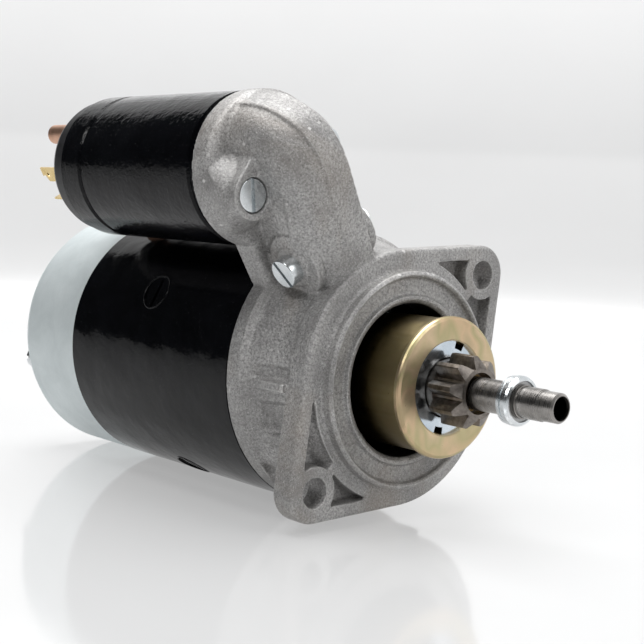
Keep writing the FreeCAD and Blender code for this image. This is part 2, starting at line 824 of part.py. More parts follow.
ring_rear = "pivot_place - drive_travel / 2 - pad_radius - 0.3"
ring_front = "pivot_place - drive_travel / 2 + pad_radius + 0.3"
keep(turned("DriverSleeve", ring_points(
    "sleeve_rear", "clutch_rear", "spline_radius + running_gap", "sleeve_radius")), "driver_sleeve")
keep(turned("ForkRing", [
    (ring_rear + " - 2.2", "sleeve_radius"),
    (ring_front + " + 2.2", "sleeve_radius"),
    (ring_front + " + 2.2", "18.5"),
    (ring_front, "18.5"),
    (ring_front, "13"),
    (ring_rear, "13"),
    (ring_rear, "18.5"),
    (ring_rear + " - 2.2", "18.5"),
]), "fork_ring")
keep(turned("ClutchShell", [
    ("clutch_rear", "spline_radius + running_gap"),
    ("clutch_rear + 4.5", "spline_radius + running_gap"),
    ("clutch_rear + 4.5", "race_radius"),
    ("clutch_front - plate_gauge", "race_radius"),
    ("clutch_front - plate_gauge", "clutch_radius - 1.6"),
    ("clutch_front", "clutch_radius - 1.6"),
    ("clutch_front", "clutch_radius"),
    ("clutch_rear + 4", "clutch_radius"),
    ("clutch_rear + 1.2", "clutch_radius - 1.2"),
    ("clutch_rear", "clutch_radius - 4"),
]), "clutch_shell")
keep(turned("ClutchFrontWasher", [
    ("clutch_front", "washer_hole"),
    ("clutch_front + 1.2", "washer_hole"),
    ("clutch_front + 1.6", "washer_hole + 0.5"),
    ("clutch_front + 1.6", "washer_radius - 1.2"),
    ("clutch_front + 1.1", "washer_radius - 0.3"),
    ("clutch_front + 0.4", "washer_radius"),
    ("clutch_front - 0.6", "washer_radius"),
    ("clutch_front - 1.2", "washer_radius - 0.5"),
    ("clutch_front - 1.2", "clutch_radius"),
    ("clutch_front", "clutch_radius"),
]), "clutch_front_washer")


def clutch_tab_washer():
    """Bright steel plate that keeps the rollers in, with two notches beside the front washer's hole."""
    low = size("clutch_front - plate_gauge")
    high = size("clutch_front")
    plate = rod(size("clutch_radius") - 1.7, low, high).cut(rod(size("pinion_hub") + 0.5, low - 1, high + 1))
    for angle in (-21, 169):
        notch = sector(14.2, size("washer_hole") + 1.2, low - 1, high + 1, angle, 7.5)
        plate = plate.cut(notch)
    return plate


def roller_places():
    """Angles of the clutch rollers."""
    return [72.0 * index + 20 for index in range(5)]


def clutch_rollers():
    """Five rollers between the race and the pinion hub."""
    middle = size("pinion_hub") + size("running_gap") + size("roller_radius")
    roller = rod(size("roller_radius"), size("clutch_rear") + 5, size("clutch_rear") + 19, 0, middle)
    return Part.makeCompound([turn_about_x(roller, angle) for angle in roller_places()])


def roller_springs():
    """Small springs that push each roller into its wedge."""
    middle = size("pinion_hub") + 0.6 + 2.2
    base = size("clutch_rear") + 11
    spring = Part.makeCylinder(2, 5, Vector(base, 3.4, middle), Vector(0, 1, -0.28))
    spring = spring.cut(Part.makeCylinder(1.2, 8, Vector(base, 3.0, middle), Vector(0, 1, -0.28)))
    return Part.makeCompound([turn_about_x(spring, angle) for angle in roller_places()])


def coil_spring(radius, wire, low, high, turns):
    """Helical spring about the X axis between two places."""
    length = high - low - 2 * wire
    helix = Part.makeHelix(length / turns, length, radius)
    start = Part.Wire([Part.makeCircle(wire, Vector(radius, 0, 0), Vector(0, 1, 0))])
    spring = Part.Wire(helix).makePipeShell([start], True, True)
    spring.Placement = FreeCAD.Placement(Vector(low + wire, 0, 0), Rotation(Vector(0, 1, 0), 90))
    return spring


def pinion_gear():
    """Nine-tooth pinion with its inner race hub."""
    count = int(size("pinion_teeth"))
    tip, root = size("pinion_tip"), size("pinion_root")
    low, high = size("pinion_back"), size("pinion_front")
    blank = rod(root, low, high)
    pitch = (tip + root) / 2
    flank = [(2.75, root - 1), (2.45, root + 0.4), (1.95, pitch), (1.15, tip - 0.35), (0.75, tip)]
    left = [Vector(low, -half, reach) for half, reach in flank]
    right = [Vector(low, half, reach) for half, reach in reversed(flank)]
    tooth = Part.Face(Part.makePolygon(left + right + left[:1])).extrude(Vector(high - low, 0, 0))
    teeth = [turn_about_x(tooth, 360.0 * index / count + 1.5) for index in range(count)]
    hub = rod(size("pinion_hub"), size("clutch_rear") + 5, low)
    gear = blank.fuse(teeth + [hub]).removeSplitter()
    bevel = 2.6
    slope = bevel / (tip - root - 0.2)
    base = high - bevel - 4 * slope
    relief = Part.makeCone(tip + 4, root + 0.2, high - base, Vector(base, 0, 0), X_AXIS)
    envelope = rod(tip + 4, size("clutch_rear"), base).fuse(relief)
    gear = gear.common(envelope)
    gear = gear.cut(rod(size("spline_radius") + 0.35, -20, 20)).cut(rod(7, 10, 40))
    return gear.cut(rod(7.35, high - 4.5, high + 1))


keep(computed("ClutchTabWasher", clutch_tab_washer()), "clutch_tab_washer")
keep(computed("ClutchRollers", clutch_rollers()), "clutch_rollers")
keep(computed("RollerSprings", roller_springs()), "clutch_roller_springs")
meshing_spring = coil_spring(15.2, 1.2, size(ring_front) + 2.4, size("clutch_rear") - 0.2, 2.5)
keep(computed("MeshingSpring", meshing_spring), "meshing_spring")
keep(computed("PinionGear", pinion_gear()), "pinion_gear")
keep(turned("PinionBushing", ring_points(
    "nose_start + 7", "pinion_front - 4.6", "nose_radius + running_gap", "7")), "pinion_bushing")


# ---------------------------------------------------------------- shift lever and its pivot

def tilt_at_rest():
    """Angle of the lever at rest, half its whole swing."""
    return math.degrees(size("drive_travel") / (size("pivot_height") - size("pad_height"))) / 2


ARM_GAUGE = (-4.5, 0.3)


def shift_lever():
    """Stamped lever: slotted top for the plunger pin, bored boss, bridge and two fork arms with pads."""
    top = size("solenoid_height - pivot_height")
    foot = size("pad_height - pivot_height")
    blade = brick((-5, 5), (-2, 2), (-3, top + 6))
    boss = Part.makeCylinder(7, 20, Vector(0, -10, 0), Vector(0, 1, 0))
    bridge = brick(ARM_GAUGE, (-23, 23), (-28.5, -21.5))
    stem = brick((-5, 1.8), (-5, 5), (-22, -4))
    lever = blade.fuse([boss, bridge, stem])
    for side in (-1, 1):
        arm = brick(ARM_GAUGE, sorted((side * 20, side * 23)), (foot, -21.5))
        end = Part.makeCylinder(5, 3, Vector(0, side * 20, foot), Vector(0, side, 0))
        pad = Part.makeCylinder(size("pad_radius"), 6, Vector(0, side * 14.2, foot), Vector(0, side, 0))
        lever = lever.fuse([arm, end, pad])
    bore = Part.makeCylinder(size("pivot_radius + running_gap"), 40, Vector(0, -20, 0), Vector(0, 1, 0))
    slot = brick((-2.9, 2.9), (-5, 5), (top - 4, top + 10))
    return lever.removeSplitter().cut(bore).cut(slot)


lever_place = leaned_placement().multiply(FreeCAD.Placement(
    Vector(size("pivot_place"), 0, size("pivot_height")), Rotation(Vector(0, 1, 0), tilt_at_rest())))
keep(computed("ShiftLever", shift_lever(), lever_place), "shift_lever")


def lever_pivot_bolt():
    """Slotted cheese-head bolt across the lever chamber, along the side direction."""
    seat = -size("pivot_seat")
    height = 4.8
    head = Part.makeCylinder(5.5, height, Vector(0, seat, 0), Vector(0, -1, 0))
    rim = [edge for edge in head.Edges if edge.BoundBox.YMax < seat - height + 0.1 and edge.Length > 1]
    head = head.makeFillet(0.5, rim)
    shank = Part.makeCylinder(size("pivot_radius"), 22 - seat, Vector(0, seat, 0), Vector(0, 1, 0))
    slot = brick((-7, 7), (seat - height - 1, seat - height + 2), (-0.75, 0.75))
    slot.rotate(Vector(), Vector(0, 1, 0), 62)
    return head.fuse(shank).removeSplitter().cut(slot)


pivot_frame = leaned_placement().multiply(FreeCAD.Placement(
    Vector(size("pivot_place"), 0, size("pivot_height")), Rotation()))
keep(computed("LeverPivotBolt", lever_pivot_bolt(), pivot_frame), "lever_pivot_bolt")


def hex_nut(radius, thickness, bore):
    """Hexagon nut along +X from the origin."""
    corners = []
    for index in range(7):
        angle = math.radians(60 * index)
        corners.append(Vector(0, radius * math.cos(angle), radius * math.sin(angle)))
    nut = Part.Face(Part.makePolygon(corners)).extrude(Vector(thickness, 0, 0))
    shoulder = Vector(thickness * 0.64, 0, 0)
    crown = Part.makeCone(radius * 1.03, radius * 0.86, thickness * 0.36, shoulder, X_AXIS)
    nut = nut.common(rod(radius * 1.03, 0, thickness * 0.64).fuse(crown))
    return nut.cut(rod(bore, -1, thickness + 1))


pivot_nut = hex_nut(5.8, 4.5, size("pivot_radius"))
pivot_nut.rotate(Vector(), Vector(0, 0, 1), 90)
pivot_nut.translate(Vector(0, size("pivot_seat"), 0))
keep(computed("LeverPivotNut", pivot_nut, pivot_frame), "lever_pivot_nut")

seal = box("LeverSealBlock", ("yoke_front", "yoke_front + 6"), ("-10.4", "10.4"), ("48", "62"))
seal_groove = box("LeverSealGroove", ("yoke_front + 2", "yoke_front + 4"), ("-11", "11"), ("60.5", "63"))
keep(put_leaned(cut("LeverSealBlock", seal, seal_groove), "0"), "lever_seal_block")


# ---------------------------------------------------------------- solenoid, about its own X axis

can_inner = "solenoid_radius - solenoid_wall"


def screw_holes(radius, low, high):
    """Pair of holes for the solenoid screws, in the solenoid's own frame."""
    offset = size("screw_offset")
    return [rod(radius, low, high, side * offset, 0) for side in (-1, 1)]


can = turned("SolenoidCan", [
    ("solenoid_rear", can_inner),
    ("solenoid_front - 4", can_inner),
    ("solenoid_front - 4", "plunger_radius + running_gap"),
    ("solenoid_front", "plunger_radius + running_gap"),
    ("solenoid_front", "solenoid_radius - 1"),
    ("solenoid_front - 3.2", "solenoid_radius - 1"),
    ("solenoid_front - 3.8", "solenoid_radius"),
    ("crimp_place + 1.6", "solenoid_radius"),
    ("crimp_place + 0.8", "solenoid_radius - 0.8"),
    ("crimp_place - 0.8", "solenoid_radius - 0.8"),
    ("crimp_place - 1.6", "solenoid_radius"),
    ("solenoid_rear + 0.8", "solenoid_radius"),
    ("solenoid_rear", "solenoid_radius - 0.8"),
])
can_holes = [
    cylinder("CanHole%d" % number, "3", "solenoid_front - 5", "solenoid_front + 1", y=place)
    for number, place in enumerate(("screw_offset", "-screw_offset"))
]
keep(put_leaned(cut("SolenoidCan", can, *can_holes)), "solenoid_can")

guide_outline = ring_points(
    "-92", "solenoid_front - 4", "plunger_radius + running_gap", "plunger_radius + 0.8"
)
keep(put_leaned(turned("SolenoidGuideTube", guide_outline)), "solenoid_guide_tube")
keep(put_leaned(turned("SolenoidCoil", [
    ("-97", "plunger_radius + 0.8"),
    ("-45", "plunger_radius + 0.8"),
    ("-45", can_inner + " - 0.4"),
    ("-47", can_inner + " - 0.4"),
    ("-47", can_inner + " - 2.4"),
    ("-95", can_inner + " - 2.4"),
    ("-95", can_inner + " - 0.4"),
    ("-97", can_inner + " - 0.4"),
])), "solenoid_coil")
keep(put_leaned(turned("SolenoidCore", [
    ("-102", "2.05"),
    ("-93", "2.05"),
    ("-93", "6"),
    ("core_face", "6"),
    ("core_face", "plunger_radius"),
    ("-97", "plunger_radius"),
    ("-97", can_inner),
    ("-102", can_inner),
])), "solenoid_core")

moulding = turned("SolenoidMoulding", [
    ("-102.2", "22.5"),
    ("-102.2", can_inner + " - 0.05"),
    ("solenoid_rear", can_inner + " - 0.05"),
    ("solenoid_rear", "moulding_radius"),
    ("moulding_rear + 2.5", "moulding_radius"),
    ("moulding_rear + 0.7", "moulding_radius - 0.7"),
    ("moulding_rear", "moulding_radius - 2.5"),
    ("moulding_rear", "0"),
    ("-131", "0"),
    ("-131", "22.5"),
])
BATTERY_STUD = ("-3", "16.5")
MOTOR_STUD = ("9", "-13.5")
stud_holes = [
    cylinder("MouldingHole%d" % number, "stud_radius - 0.2", "moulding_rear - 1", "-130", *place)
    for number, place in enumerate((BATTERY_STUD, MOTOR_STUD))
]
keep(put_leaned(cut("SolenoidMoulding", moulding, *stud_holes)), "solenoid_end_cap")


def stud_piece(name, place, end, nut_face):
    """Terminal stud: thread outside its nut, waist under the nut, contact head inside the moulding."""
    thread = cylinder(name + "Thread", "stud_radius", end, nut_face, *place)
    waist = cylinder(name + "Waist", "stud_radius - 0.2", nut_face, "-119", *place)
    head = cylinder(name + "Head", "5.4", "-119", "-115.35", *place)
    sleeve = cylinder(name + "Sleeve", "5.4", "-131", "-119", *place)
    return put_leaned(fuse(name, thread, waist, head, sleeve))


keep(stud_piece("BatteryStud", BATTERY_STUD, "-160", "-142"), "battery_terminal_stud")
keep(stud_piece("MotorStud", MOTOR_STUD, "-152", "-145"), "motor_terminal_stud")


def terminal_nuts():
    """Hexagon nuts on the two studs, both crowns facing out."""
    nuts = []
    for (side, height), low in ((BATTERY_STUD, -142), (MOTOR_STUD, -145)):
        nut = hex_nut(7.2, 6, size("stud_radius - 0.2"))
        nut.rotate(Vector(), Vector(0, 0, 1), 180)
        nut.translate(Vector(low + 6, float(side), float(height)))
        nuts.append(nut)
    return Part.makeCompound(nuts)


solenoid_place = leaned_placement(size("solenoid_height"))
keep(computed("TerminalNuts", terminal_nuts(), solenoid_place), "terminal_nuts")


def spade_terminals():
    """Two brass blades, one upright at the side and one lying flat below it."""
    rear = size("moulding_rear")
    upright = brick((rear - 17, rear), (-20.4, -19.6), (3.4, 9.7))
    hole = Part.makeCylinder(0.9, 4, Vector(rear - 12.5, -22, 6.5), Vector(0, 1, 0))
    corner = brick((rear - 19, rear - 14), (-22, -18), (-2, 2))
    corner.rotate(Vector(rear - 17, 0, 0), Vector(0, 1, 0), -30)
    corner.translate(Vector(0, 0, 3.4))
    flat = brick((rear - 10, rear), (-23.5, -17.2), (-3.2, -2.4))
    return Part.makeCompound([upright.cut(hole).cut(corner), flat])


keep(computed("SpadeTerminals", spade_terminals(), solenoid_place), "spade_terminals")

plunger = turned("PlungerBody", [
    ("plunger_rear", "6"),
    ("plunger_rear + 20", "6"),
    ("plunger_rear + 20", "0"),
    ("-6", "0"),
    ("-6", "5.8"),
    ("-6.8", "6.5"),
    ("-38", "6.5"),
    ("-40", "plunger_radius"),
    ("plunger_rear", "plunger_radius"),
])
lever_slot = box("PlungerSlot", ("-22", "0"), ("-2.4", "2.4"), ("-10", "10"))
keep(put_leaned(cut("Plunger", plunger, lever_slot)), "solenoid_plunger")
pin_place = size("pivot_place") + size("solenoid_height - pivot_height") * math.tan(
    math.radians(tilt_at_rest()))
plunger_pin = Part.makeCylinder(2.6, 4.7, Vector(pin_place, -2.35, 0), Vector(0, 1, 0))
keep(computed("PlungerPin", plunger_pin, solenoid_place), "plunger_link_pin")
return_spring = coil_spring(4.6, 0.6, size("plunger_rear") - 10.5, size("plunger_rear") + 19.5, 7)
keep(computed("PlungerReturnSpring", return_spring, solenoid_place), "plunger_return_spring")

keep(put_leaned(turned("ContactRod", ring_points("-113.5", "-82", "0", "2"))), "contact_rod")
keep(put_leaned(turned("ContactDisc", ring_points("-112", "-110", "2", "14"))), "contact_disc")


def solenoid_screws():
    """Two slotted screws that hold the solenoid to the housing."""
    screws = []
    for side, turn in ((-1, -24), (1, 20)):
        head = rod(5.9, -21.5, -17.2)
        rim = [edge for edge in head.Edges if edge.BoundBox.XMin > -17.3 and edge.Length > 1]
        head = head.makeFillet(0.4, rim)
        slot = brick((-18.6, -16), (-0.75, 0.75), (-7, 7))
        slot.rotate(Vector(), X_AXIS, turn)
        screw = head.fuse(rod(3, size("solenoid_front") - 3.5, -21.5)).removeSplitter().cut(slot)
        screw.translate(Vector(0, side * size("screw_offset"), 0))
        screws.append(screw)
    return Part.makeCompound(screws)


keep(computed("SolenoidScrews", solenoid_screws(), solenoid_place), "solenoid_screws")


# ---------------------------------------------------------------- field lead

strap_place = (-138.6, -137.2)
strap_side = (5.0, 13.0)
strap = brick(strap_place, strap_side, (46.5, size("solenoid_height") - 13.5))
eye = rod(6.5, strap_place[0], strap_place[1], 9, size("solenoid_height") - 13.5)
strap_hole = rod(size("stud_radius - 0.2"), -145, -130, 9, size("solenoid_height") - 13.5)
strap = strap.fuse(eye).removeSplitter().cut(strap_hole)
keep(computed("FieldLeadStrap", strap, leaned_placement()), "field_lead_strap")
spacer = rod(6.5, strap_place[1], size("moulding_rear")).cut(rod(size("stud_radius - 0.2"), -145, -130))
spacer.translate(Vector(0, 9, -13.5))
keep(computed("MotorStudSpacer", spacer, solenoid_place), "motor_stud_washer")
grommet = brick((size("yoke_rear"), -135), (2, 14), (48, 55)).cut(brick(strap_place, strap_side, (40, 60)))
keep(computed("FieldLeadGrommet", grommet, leaned_placement()), "field_lead_grommet")


# ---------------------------------------------------------------- checks and files

doc.recompute()
for item in doc.Objects:
    if "Invalid" in item.State or "Error" in item.State:
        raise RuntimeError("%s: %s" % (item.Label, item.State))
os.makedirs("parts", exist_ok=True)
for item in PIECES:
    shape = item.Shape
    if shape.isNull() or not shape.isValid():
        raise RuntimeError("bad shape: " + item.Label)
    shape.exportStep("parts/%s.step" % item.Label)
    print("%-24s %2d solids %9.0f mm3" % (item.Label, len(shape.Solids), shape.Volume))
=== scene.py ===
"""Starter motor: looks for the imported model, on a pale floor under soft studio light."""
import json
import math
import bmesh
import bpy
import numpy as np
from mathutils import Matrix, Vector


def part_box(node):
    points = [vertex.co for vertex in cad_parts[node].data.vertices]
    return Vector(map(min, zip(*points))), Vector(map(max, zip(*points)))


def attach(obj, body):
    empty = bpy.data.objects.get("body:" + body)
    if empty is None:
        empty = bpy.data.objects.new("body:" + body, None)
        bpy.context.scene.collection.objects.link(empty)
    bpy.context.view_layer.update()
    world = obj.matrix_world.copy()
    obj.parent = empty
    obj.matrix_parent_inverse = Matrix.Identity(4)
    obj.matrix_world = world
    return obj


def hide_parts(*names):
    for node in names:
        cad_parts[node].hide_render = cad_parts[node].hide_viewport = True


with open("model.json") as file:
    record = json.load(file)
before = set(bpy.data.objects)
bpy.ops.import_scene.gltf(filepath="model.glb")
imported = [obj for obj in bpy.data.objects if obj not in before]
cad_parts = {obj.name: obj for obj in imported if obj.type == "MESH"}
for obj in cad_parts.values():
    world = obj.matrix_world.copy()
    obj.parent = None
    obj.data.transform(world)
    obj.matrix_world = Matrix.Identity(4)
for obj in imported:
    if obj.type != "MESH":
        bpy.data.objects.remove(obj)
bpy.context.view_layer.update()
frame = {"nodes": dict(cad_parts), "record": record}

# Lengths are in metres, in the frame's axes: X runs along the shaft from the flange face, and Z is up.
NODES = frame["nodes"]
BODIES = frame["record"]["behaviour"]["bodies"]
BODY_OF = {node: body for body, members in BODIES.items() for node in members}


# ---------------------------------------------------------------- materials

# Where painted shade starts and where it is full: in the housing's mouth, in the shaft's centre hole, and
# on the clutch shell inside the housing.
MOUTH_SHADE_RADIUS = (0.0292, 0.0288)
MOUTH_SHADE_DEPTH = (0.0030, 0.0020)
CENTRE_HOLE_SHADE_RADIUS = (0.0043, 0.0040)
CLUTCH_SHADE_DEPTH = (0.020, 0.003)


class Finish:
    """Builds one node material around a Principled shader."""

    def __init__(self, name, **values):
        self.material = bpy.data.materials.new(name)
        self.material.use_nodes = True
        self.nodes = self.material.node_tree.nodes
        self.links = self.material.node_tree.links
        self.shader = self.nodes["Principled BSDF"]
        for socket, value in values.items():
            self.shader.inputs[socket.replace("_", " ")].default_value = value
        self.place = self.nodes.new("ShaderNodeTexCoord").outputs["Object"]
        self.normal = None

    def node(self, kind, **inputs):
        """A node with its inputs set or linked, by name."""
        made = self.nodes.new(kind)
        for name, value in inputs.items():
            self.feed(value, made.inputs[name.replace("_", " ")])
        return made

    def feed(self, value, socket):
        """Link an output, or set a plain value."""
        if isinstance(value, bpy.types.NodeSocket):
            self.links.new(value, socket)
        else:
            socket.default_value = value

    def noise(self, scale, detail=3.0, roughness=0.5, distortion=0.0, stretch=None):
        """Noise in the object's own metres, from 0 to 1."""
        vector = self.place
        if stretch is not None:
            vector = self.node("ShaderNodeMapping", Vector=vector, Scale=stretch).outputs["Vector"]
        made = self.node("ShaderNodeTexNoise", Vector=vector, Scale=scale, Detail=detail,
                         Roughness=roughness, Distortion=distortion)
        return made.outputs["Fac"]

    def pointiness(self):
        """0.5 on a flat face, less in hollows and more on raised edges."""
        return self.nodes.new("ShaderNodeNewGeometry").outputs["Pointiness"]

    def spread(self, value, low, high, to_low=0.0, to_high=1.0):
        """Remap a range, clamped."""
        made = self.node("ShaderNodeMapRange", Value=value, From_Min=low, From_Max=high,
                         To_Min=to_low, To_Max=to_high)
        return made.outputs["Result"]

    def maths(self, operation, first, second):
        """One arithmetic step."""
        made = self.nodes.new("ShaderNodeMath")
        made.operation = operation
        self.feed(first, made.inputs[0])
        self.feed(second, made.inputs[1])
        return made.outputs[0]

    def ramp(self, value, stops):
        """Colour ramp through (place, colour) stops."""
        made = self.nodes.new("ShaderNodeValToRGB")
        elements = made.color_ramp.elements
        while len(elements) < len(stops):
            elements.new(0.5)
        for element, (place, colour) in zip(elements, stops):
            element.position = place
            element.color = (*colour, 1.0)
        self.links.new(value, made.inputs["Fac"])
        return made.outputs["Color"]

    def blend(self, factor, first, second):
        """Mix two colours."""
        made = self.nodes.new("ShaderNodeMix")
        made.data_type = "RGBA"
        self.feed(factor, made.inputs["Factor"])
        for value, socket in ((first, made.inputs[6]), (second, made.inputs[7])):
            self.feed((*value, 1.0) if isinstance(value, tuple) else value, socket)
        return made.outputs[2]

    def layer(self, base, colour, value, low, high, most=1.0, least=0.0):
        """Lay a colour over the base, by its least share where a value is low and its most where high."""
        return self.blend(self.spread(value, low, high, least, most), base, colour)

    def along_axis(self):
        """Place along the shaft."""
        return self.node("ShaderNodeSeparateXYZ", Vector=self.place).outputs["X"]

    def from_axis(self):
        """Distance from the shaft axis."""
        parts = self.node("ShaderNodeSeparateXYZ", Vector=self.place)
        across = self.node("ShaderNodeCombineXYZ", Y=parts.outputs["Y"], Z=parts.outputs["Z"])
        length = self.nodes.new("ShaderNodeVectorMath")
        length.operation = "LENGTH"
        self.links.new(across.outputs["Vector"], length.inputs[0])
        return length.outputs["Value"]

    def mouth_shade(self):
        """1 where painted shade fills the space of the housing round the drive, behind its open end."""
        near = self.spread(self.from_axis(), *MOUTH_SHADE_RADIUS)
        return self.maths("MULTIPLY", near, self.spread(self.along_axis(), *MOUTH_SHADE_DEPTH))

    def rings(self, pitch, waver):
        """Fine bands along X that waver a little round the axis, as turning or stacking leaves them."""
        return self.noise(1.0 / pitch, detail=2.0, roughness=0.6, stretch=(1.0, waver, waver))

    def colour(self, value):
        """Feed the base colour."""
        self.feed(value, self.shader.inputs["Base Color"])

    def roughness(self, value):
        """Feed the roughness."""
        self.feed(value, self.shader.inputs["Roughness"])

    def bump(self, height, strength, distance):
        """Stack one layer of bump on the ones before it."""
        made = self.node("ShaderNodeBump", Height=height, Strength=strength, Distance=distance)
        if self.normal is not None:
            self.links.new(self.normal, made.inputs["Normal"])
        self.normal = made.outputs["Normal"]
        self.links.new(self.normal, self.shader.inputs["Normal"])
        return self


def cast_aluminium():
    """Sand-textured die casting: grey grain, dark pores, lighter raised edges, painted shade in the
    hollows, and near-black painted shade inside the mouth.
    """
    skin = Finish("cast_aluminium", Metallic=0.5)
    grain = skin.noise(1150, detail=4, roughness=0.7)
    fleck = skin.noise(2400, detail=2)
    cloud = skin.noise(48, detail=4, roughness=0.6)
    stain = skin.noise(17, distortion=1.5)
    edge = skin.pointiness()
    base = skin.ramp(grain, [
        (0.28, (0.16, 0.157, 0.155)),
        (0.5, (0.40, 0.393, 0.387)),
        (0.72, (0.68, 0.67, 0.66)),
    ])
    layers = [
        # dull patches and oil stains
        (cloud, 0.42, 0.70, 0.70, (0.21, 0.205, 0.20)),
        (stain, 0.52, 0.70, 0.40, (0.29, 0.24, 0.19)),
        # bright grains and dark pores
        (fleck, 0.63, 0.72, 0.60, (0.88, 0.87, 0.86)),
        (fleck, 0.37, 0.28, 0.80, (0.06, 0.058, 0.056)),
        # lighter on raised edges, and painted shade that darkens the hollows
        (edge, 0.52, 0.57, 0.70, (0.74, 0.73, 0.72)),
        (edge, 0.485, 0.42, 0.80, (0.06, 0.057, 0.054)),
    ]
    for value, low, high, most, colour in layers:
        base = skin.layer(base, colour, value, low, high, most)
    # Painted shade: the inside of the mouth turns near black.
    skin.colour(skin.blend(skin.mouth_shade(), base, (0.010, 0.009, 0.008)))
    skin.roughness(skin.spread(grain, 0.3, 0.7, 0.44, 0.62))
    skin.bump(grain, strength=0.6, distance=0.00032)
    dents = skin.noise(340, detail=4, roughness=0.6)
    return skin.bump(dents, strength=0.45, distance=0.0009).material


def gloss_black(name, wrinkle):
    """Thick gloss black paint: slight orange peel, runs and dust, and as many wrinkles as asked."""
    paint = Finish(name, IOR=1.30)
    cloud = paint.noise(90, roughness=0.55)
    dust = paint.noise(2100, detail=2)
    sheen = paint.noise(170, detail=4, roughness=0.6)
    base = paint.ramp(cloud, [(0.3, (0.0012, 0.0013, 0.0018)), (0.8, (0.0035, 0.0038, 0.0050))])
    paint.colour(paint.layer(base, (0.16, 0.16, 0.16), dust, 0.72, 0.77, most=0.6))
    paint.roughness(paint.spread(sheen, 0.35, 0.75, 0.06, 0.18))
    paint.bump(paint.noise(420), strength=0.10, distance=0.0004)
    wrinkles = paint.noise(640, detail=2, distortion=0.6)
    paint.bump(wrinkles, strength=0.35 * wrinkle, distance=0.0004)
    return paint.bump(paint.noise(60, detail=2), strength=0.30, distance=0.0016).material


def zinc(name, dark, light, rough, metallic=1.0):
    """Bright plated steel with a faint bloom."""
    plate = Finish(name, Metallic=metallic)
    bloom = plate.noise(70, detail=5, roughness=0.6, distortion=0.4)
    fine = plate.noise(900, roughness=0.6)
    plate.colour(plate.layer(dark, light, bloom, 0.35, 0.7))
    plate.roughness(plate.spread(fine, 0.25, 0.75, rough - 0.05, rough + 0.08))
    return plate.bump(fine, strength=0.05, distance=0.0002).material


def yellow_zinc(name, dim):
    """Yellow chromate over zinc: gold, olive and pink that drift into each other, a pale painted highlight
    on raised edges, and, if asked, a browner tint with painted shade that is darkest inside.
    """
    plate = Finish(name, Metallic=1.0)
    drift = plate.noise(36, detail=2, roughness=0.45, distortion=0.9)
    streak = plate.noise(260, detail=4, roughness=0.65)
    facing = plate.node("ShaderNodeLayerWeight", Blend=0.35).outputs["Facing"]
    mixed = plate.maths("ADD", plate.maths("MULTIPLY", drift, 0.85), plate.maths("MULTIPLY", facing, 0.25))
    base = plate.ramp(mixed, [
        (0.34, (0.26, 0.15, 0.06)),
        (0.42, (0.54, 0.32, 0.18)),
        (0.49, (0.28, 0.22, 0.07)),
        (0.57, (0.55, 0.36, 0.22)),
        (0.66, (0.36, 0.29, 0.10)),
        (0.80, (0.70, 0.58, 0.36)),
    ])
    base = plate.layer(base, (0.25, 0.19, 0.10), streak, 0.52, 0.8, most=0.3)
    # Painted highlight: raised edges turn pale yellow.
    base = plate.layer(base, (0.80, 0.74, 0.52), plate.pointiness(), 0.52, 0.60, most=0.8)
    if dim:
        base = plate.blend(0.55, base, (0.40, 0.28, 0.07))
        # Painted shade: the dim share at the front, growing to near black deeper inside the housing.
        inside = plate.along_axis()
        base = plate.layer(base, (0.050, 0.036, 0.012), inside, *CLUTCH_SHADE_DEPTH, most=0.97, least=dim)
    plate.colour(base)
    plate.roughness(plate.spread(streak, 0.3, 0.7, 0.27, 0.42))
    return plate.bump(streak, strength=0.06, distance=0.0002).material


def ground_shaft():
    """Ground steel with fine marks round the shaft axis, and painted shade in the centre hole in its end.
    """
    steel = Finish("ground_shaft", Metallic=1.0)
    marks = steel.rings(pitch=0.00035, waver=0.02)
    cloud = steel.noise(120, detail=4, roughness=0.6)
    base = steel.layer((0.21, 0.20, 0.19), (0.46, 0.44, 0.42), cloud, 0.3, 0.7)
    # Painted shade: near black in the centre hole.
    steel.colour(steel.layer(base, (0.012, 0.011, 0.010), steel.from_axis(), *CENTRE_HOLE_SHADE_RADIUS))
    steel.roughness(steel.spread(marks, 0.3, 0.7, 0.21, 0.37))
    return steel.bump(marks, strength=0.12, distance=0.00012).material


def plain_metal(name, dark, light, rough, grain=260.0):
    """Metal with a mottled tone and fine scuffs."""
    metal = Finish(name, Metallic=1.0)
    mottle = metal.noise(grain, detail=5, roughness=0.65)
    scuffs = metal.noise(grain * 4, roughness=0.6)
    metal.colour(metal.layer(dark, light, mottle, 0.3, 0.7))
    metal.roughness(metal.spread(mottle, 0.3, 0.7, rough - 0.07, rough + 0.09))
    return metal.bump(scuffs, strength=0.08, distance=0.0002).material


def moulded(name, dark, light, rough, grain):
    """Moulded plastic, rubber or carbon with a fine skin."""
    skin = Finish(name)
    mottle = skin.noise(grain, detail=4, roughness=0.6)
    skin.colour(skin.layer(dark, light, mottle, 0.3, 0.75))
    skin.roughness(skin.spread(mottle, 0.3, 0.7, rough - 0.06, rough + 0.08))
    return skin.bump(mottle, strength=0.15, distance=0.0002).material


def winding():
    """Varnished copper wire laid side by side, with painted shade in the grooves between the wires."""
    wire = Finish("varnished_winding", Coat_Weight=0.6, Coat_Roughness=0.15)
    strands = wire.node("ShaderNodeTexWave", Vector=wire.place, Scale=220.0, Distortion=0.6)
    strands.bands_direction = "X"
    height = strands.outputs["Fac"]
    # Painted shade: the colour follows the bump, dark in the grooves and bright on the wires.
    wire.colour(wire.ramp(height, [(0.1, (0.10, 0.025, 0.008)), (0.8, (0.46, 0.15, 0.05))]))
    wire.roughness(wire.spread(wire.noise(300), 0.3, 0.7, 0.3, 0.5))
    return wire.bump(height, strength=0.5, distance=0.0006).material


